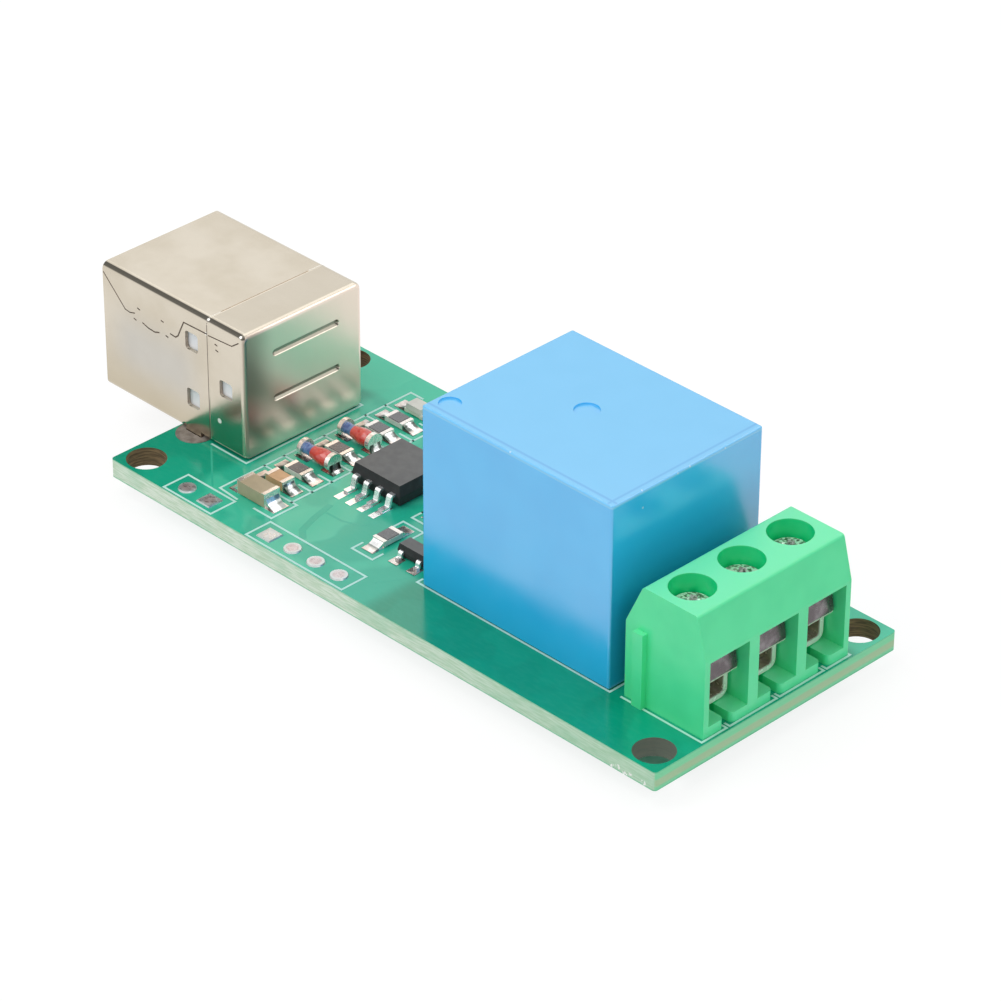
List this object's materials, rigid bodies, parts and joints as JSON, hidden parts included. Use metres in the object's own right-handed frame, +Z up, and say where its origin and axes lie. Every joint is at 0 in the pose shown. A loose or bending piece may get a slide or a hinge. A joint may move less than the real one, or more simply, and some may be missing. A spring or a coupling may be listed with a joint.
{
  "type": "relay module board",
  "caption": "Teal circuit board with a sealed blue relay, a USB type B socket and a green screw terminal for the switched wires.",
  "frame": {"origin": "centre of the four mounting holes, on the board's underside", "axes": "+X along the board's length towards the screw terminal, +Y across the board to the edge away from the empty header holes, +Z up out of the component side"},
  "size_m": [0.0665, 0.0254, 0.0188],
  "materials": {
    "board": "teal solder mask over pale glass laminate",
    "solder": "bright tin solder",
    "header_solder": "flat tin solder",
    "shell": "satin nickel plate",
    "insulator": "white moulded plastic",
    "contact_metal": "gold flash over brass",
    "ceramic_white": "fired alumina",
    "resistor_coat": "printed coat",
    "capacitor_orange": "fired ceramic",
    "capacitor_tan": "fired ceramic",
    "end_metal": "tin plate",
    "diode_glass": "coloured glass with a blue band",
    "lamp_base": "white moulding with plated ends",
    "lamp_lens": "milky lens",
    "chip_black": "moulded epoxy",
    "lead_metal": "tinned lead",
    "relay_blue": "blue moulded cover",
    "relay_base": "moulded base",
    "bobbin": "natural moulding",
    "winding": "enamelled copper wire",
    "relay_steel": "plated soft iron",
    "terminal_green": "green moulded plastic",
    "screw_nickel": "nickel plate",
    "cage_steel": "nickel plate",
    "bar_metal": "tinned brass"
  },
  "bodies": {
    "board": {"circuit_board": "board", "header_pads": "header_solder", "solder_lands": "solder", "solder_fillets": "solder", "solder_joints": "solder", "usb_front_shell": "shell", "usb_rear_cover": "shell", "usb_insulator": "insulator", "usb_contacts": "contact_metal", "resistor_bodies": "ceramic_white", "resistor_coats": "resistor_coat", "resistor_ends": "end_metal", "small_capacitor": "capacitor_orange", "small_capacitor_ends": "end_metal", "large_capacitor": "capacitor_tan", "large_capacitor_ends": "end_metal", "zener_diodes": "diode_glass", "flyback_diode": "diode_glass", "diode_end_caps": "end_metal", "lamp_base": "lamp_base", "lamp_lens": "lamp_lens", "controller_body": "chip_black", "controller_leads": "lead_metal", "transistor_body": "chip_black", "transistor_leads": "lead_metal", "relay_cover": "relay_blue", "relay_base": "relay_base", "relay_yoke": "relay_steel", "relay_core": "relay_steel", "relay_bobbin": "bobbin", "relay_winding": "winding", "relay_open_contact": "contact_metal", "relay_closed_contact": "contact_metal", "relay_common_strip": "contact_metal", "relay_coil_pins": "contact_metal", "terminal_housing": "terminal_green", "terminal_bar_1": "bar_metal", "terminal_bar_2": "bar_metal", "terminal_bar_3": "bar_metal"},
    "relay_armature": {"relay_armature": "relay_steel", "relay_moving_contact": "contact_metal"},
    "terminal_screw_1": {"terminal_screw_1": "screw_nickel"},
    "clamp_cage_1": {"clamp_cage_1": "cage_steel"},
    "terminal_screw_2": {"terminal_screw_2": "screw_nickel"},
    "clamp_cage_2": {"clamp_cage_2": "cage_steel"},
    "terminal_screw_3": {"terminal_screw_3": "screw_nickel"},
    "clamp_cage_3": {"clamp_cage_3": "cage_steel"}
  },
  "joints": [
    {"name": "terminal_screw_1_turn", "type": "hinge", "parent": "board", "child": "terminal_screw_1", "pos_m": [0.02481, -0.00486, 0.00851], "axis": [0, 0, -1], "range_deg": [0, 1408]},
    {"name": "clamp_cage_1_rise", "type": "slide", "parent": "board", "child": "clamp_cage_1", "axis": [0, 0, 1], "range_m": [0, 0.00176]},
    {"name": "terminal_screw_2_turn", "type": "hinge", "parent": "board", "child": "terminal_screw_2", "pos_m": [0.02481, 0.00022, 0.00851], "axis": [0, 0, -1], "range_deg": [0, 1408]},
    {"name": "clamp_cage_2_rise", "type": "slide", "parent": "board", "child": "clamp_cage_2", "axis": [0, 0, 1], "range_m": [0, 0.00176]},
    {"name": "terminal_screw_3_turn", "type": "hinge", "parent": "board", "child": "terminal_screw_3", "pos_m": [0.02481, 0.0053, 0.00851], "axis": [0, 0, -1], "range_deg": [0, 1408]},
    {"name": "clamp_cage_3_rise", "type": "slide", "parent": "board", "child": "clamp_cage_3", "axis": [0, 0, 1], "range_m": [0, 0.00176]},
    {"name": "relay_armature_rock", "type": "hinge", "parent": "board", "child": "relay_armature", "pos_m": [0.00328, -0.00005, 0.0139], "axis": [0, 1, 0], "range_deg": [0, 2.6], "stiffness_Nm_per_rad": 0.005, "springref_deg": -11.46}
  ],
  "couplings": [
    {"joint": "terminal_screw_1_turn", "follows": "clamp_cage_1_rise", "rad_per_m": 13963},
    {"joint": "terminal_screw_2_turn", "follows": "clamp_cage_2_rise", "rad_per_m": 13963},
    {"joint": "terminal_screw_3_turn", "follows": "clamp_cage_3_rise", "rad_per_m": 13963}
  ]
}
